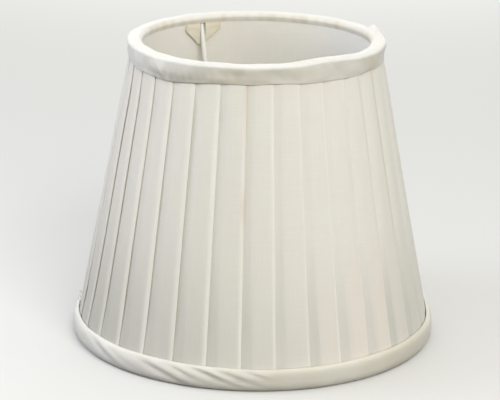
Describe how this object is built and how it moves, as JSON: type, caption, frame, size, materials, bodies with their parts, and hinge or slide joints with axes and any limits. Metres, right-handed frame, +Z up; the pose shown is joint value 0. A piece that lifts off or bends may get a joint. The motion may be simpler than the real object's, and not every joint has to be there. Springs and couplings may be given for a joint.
{
  "type": "pleated clip-on lampshade",
  "caption": "Tapered knife-pleated cloth shade of a wall sconce on a wire frame, with bound rims, a lining and a sprung wire clip that grips a candle bulb.",
  "frame": {"origin": "on the shade's axis, at the underside of the bottom trim", "axes": "+Z up along the shade's axis, -Y towards the viewer of the picture, +X to the viewer's right"},
  "size_m": [0.1518, 0.152, 0.126],
  "materials": {
    "pleat_cloth": "off-white satin weave, knife-pleated",
    "lining_cloth": "matt warm off-white lining",
    "trim_cloth": "off-white bias strip",
    "gusset_cloth": "lining cloth, yellowed by glue",
    "frame_wire": "white coated steel wire",
    "clip_steel": "zinc-plated sheet",
    "spring_wire": "zinc-plated spring wire"
  },
  "bodies": {
    "shade": {"top_ring": "frame_wire", "bottom_ring": "frame_wire", "strut_1": "frame_wire", "strut_2": "frame_wire", "strut_3": "frame_wire", "strut_4": "frame_wire", "strut_5": "frame_wire", "strut_6": "frame_wire", "drop_bar": "frame_wire", "pleated_cover": "pleat_cloth", "lining": "lining_cloth", "top_trim": "trim_cloth", "bottom_trim": "trim_cloth", "gusset_rear": "gusset_cloth", "gusset_front": "gusset_cloth"},
    "clip": {"clip_saddle": "clip_steel", "clip_rivet_1": "clip_steel", "clip_rivet_2": "clip_steel"},
    "loop_left": {"clip_loop_left": "spring_wire"},
    "loop_right": {"clip_loop_right": "spring_wire"}
  },
  "joints": [
    {"name": "clip_tilt", "type": "hinge", "parent": "shade", "child": "clip", "pos_m": [0, 0, 0.092], "axis": [-0.4894, 0.8721, 0], "range_deg": [-25, 25]},
    {"name": "loop_left_spread", "type": "hinge", "parent": "clip", "child": "loop_left", "pos_m": [-0.00183, -0.00103, 0.0855], "axis": [-0.4894, 0.8721, 0], "range_deg": [0, 8], "stiffness_Nm_per_rad": 0.3},
    {"name": "loop_right_spread", "type": "hinge", "parent": "clip", "child": "loop_right", "pos_m": [0.00183, 0.00103, 0.0855], "axis": [0.4894, -0.8721, 0], "range_deg": [0, 8], "stiffness_Nm_per_rad": 0.3}
  ]
}
